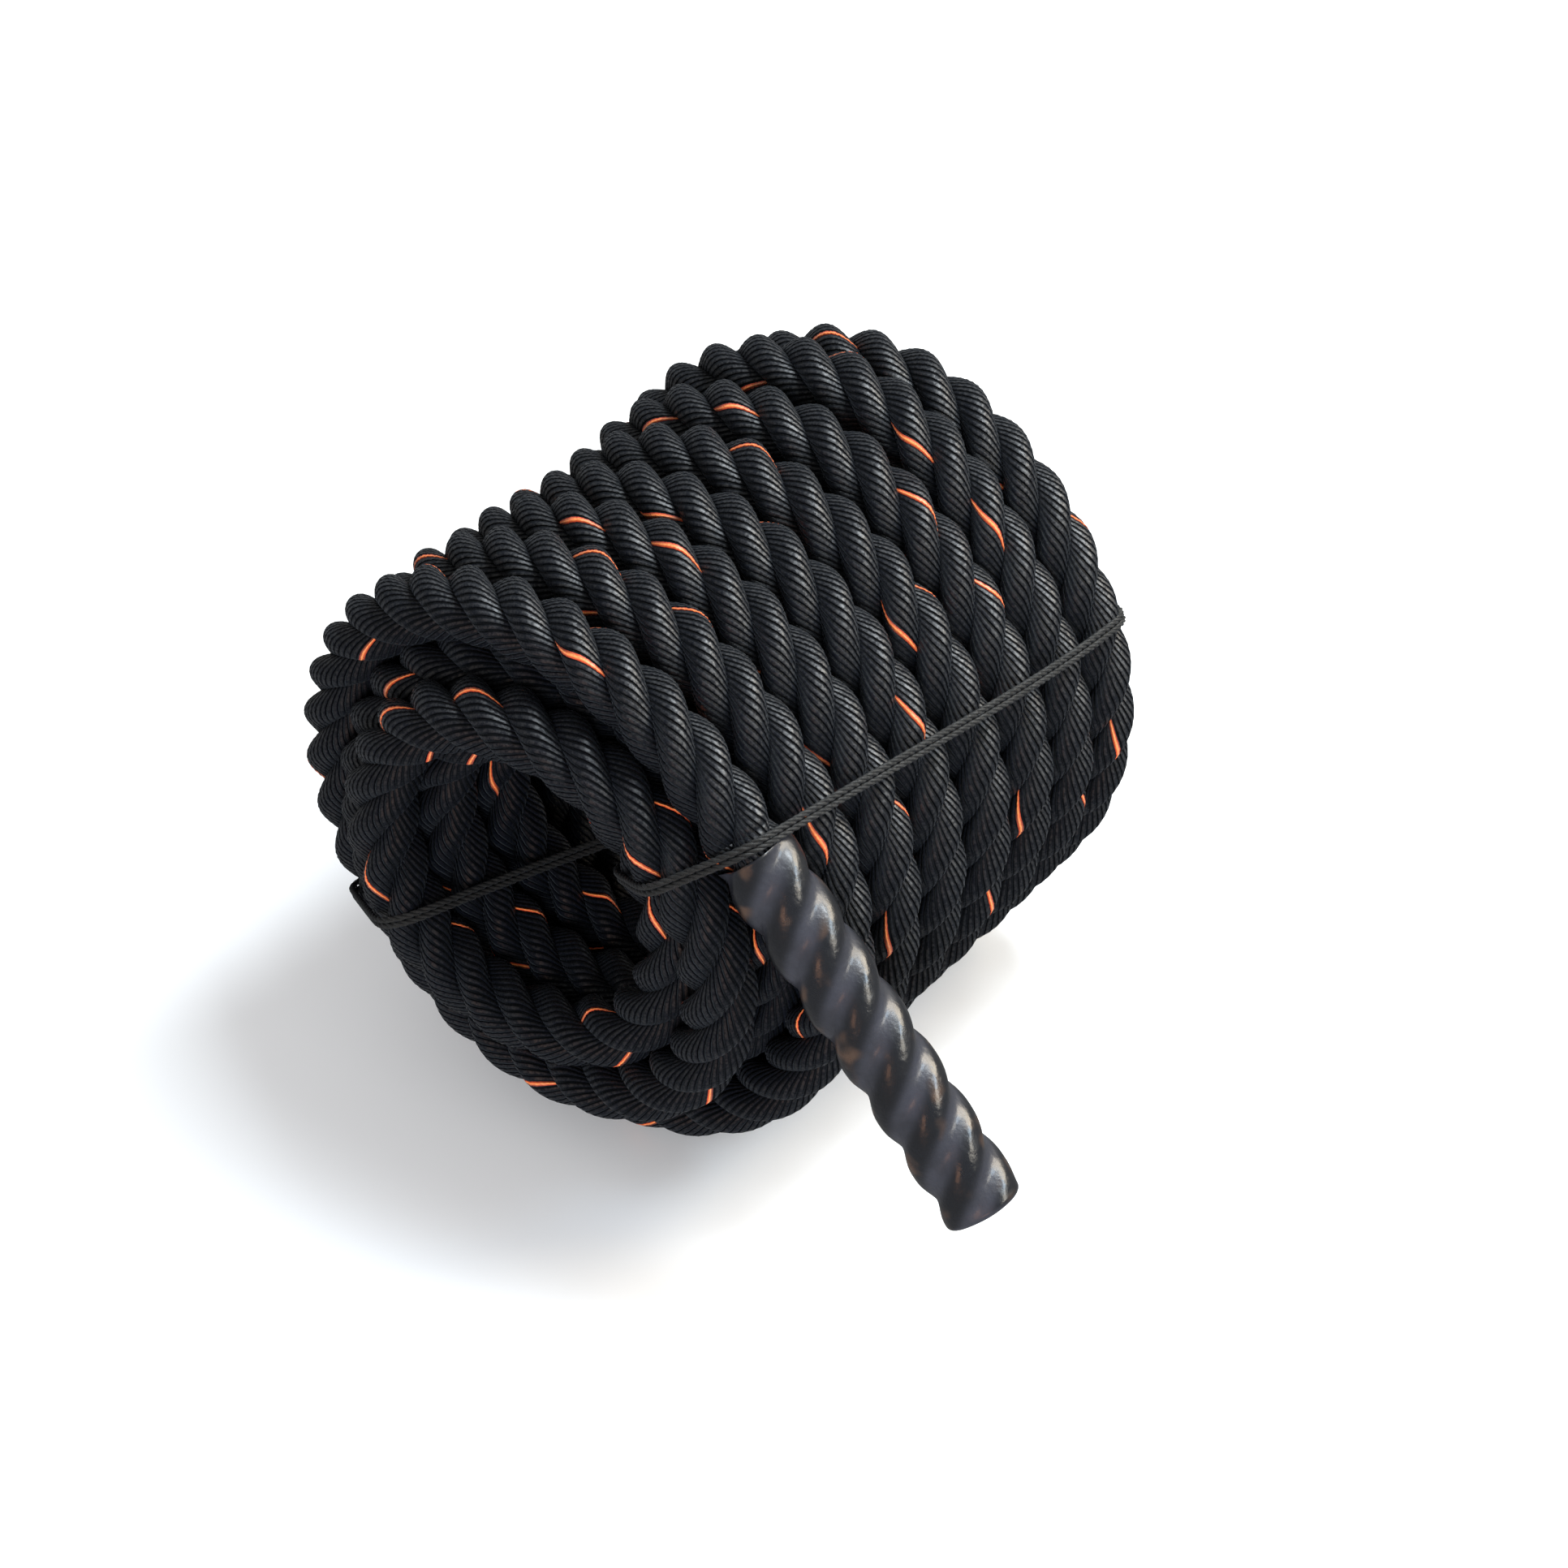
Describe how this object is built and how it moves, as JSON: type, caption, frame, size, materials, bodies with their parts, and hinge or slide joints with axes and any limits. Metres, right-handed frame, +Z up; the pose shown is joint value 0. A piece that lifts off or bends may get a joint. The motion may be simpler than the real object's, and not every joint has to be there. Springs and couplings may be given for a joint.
{
  "type": "weighted training rope",
  "caption": "Heavy training rope wound into a tied, lying coil, with a tracer yarn in its lay and a shrunk sleeve on each end as a grip; one grip stands out from the coil's front.",
  "frame": {"origin": "on the worn-flat underside of a middle turn of the coil, straight below the coil's axis, where the coil stands", "axes": "+Z up; the coil's axis lies along Y and its front face, with the free grip, looks to -Y; +X is the side that the free grip stands out to"},
  "size_m": [0.4561, 0.4061, 0.3329],
  "materials": {
    "rope": "matt twisted polyester fibre",
    "sleeve": "satin shrink sleeve",
    "tape": "matt binding tape",
    "tie_cord": "matt braided cord"
  },
  "bodies": {
    "coil": {"wound_rope": "rope", "right_tie_cord_1": "tie_cord", "right_tie_cord_2": "tie_cord", "right_tie_knot": "tie_cord", "left_tie_cord_1": "tie_cord", "left_tie_cord_2": "tie_cord", "left_tie_knot": "tie_cord"},
    "outer_grip": {"outer_rope_end": "rope", "outer_end_tape": "tape", "outer_grip_sleeve": "sleeve"},
    "inner_grip": {"inner_rope_end": "rope", "inner_end_tape": "tape", "inner_grip_sleeve": "sleeve"}
  },
  "joints": [
    {"name": "outer_grip_bend", "type": "hinge", "parent": "coil", "child": "outer_grip", "pos_m": [0.15237, -0.14387, 0.25469], "axis": [0, -1, 0], "range_deg": [0, 20], "stiffness_Nm_per_rad": 4},
    {"name": "inner_grip_bend", "type": "hinge", "parent": "coil", "child": "inner_grip", "pos_m": [0.05773, 0.02205, 0.15747], "axis": [0.1219, 0, 0.9925], "range_deg": [0, 15], "stiffness_Nm_per_rad": 4}
  ]
}
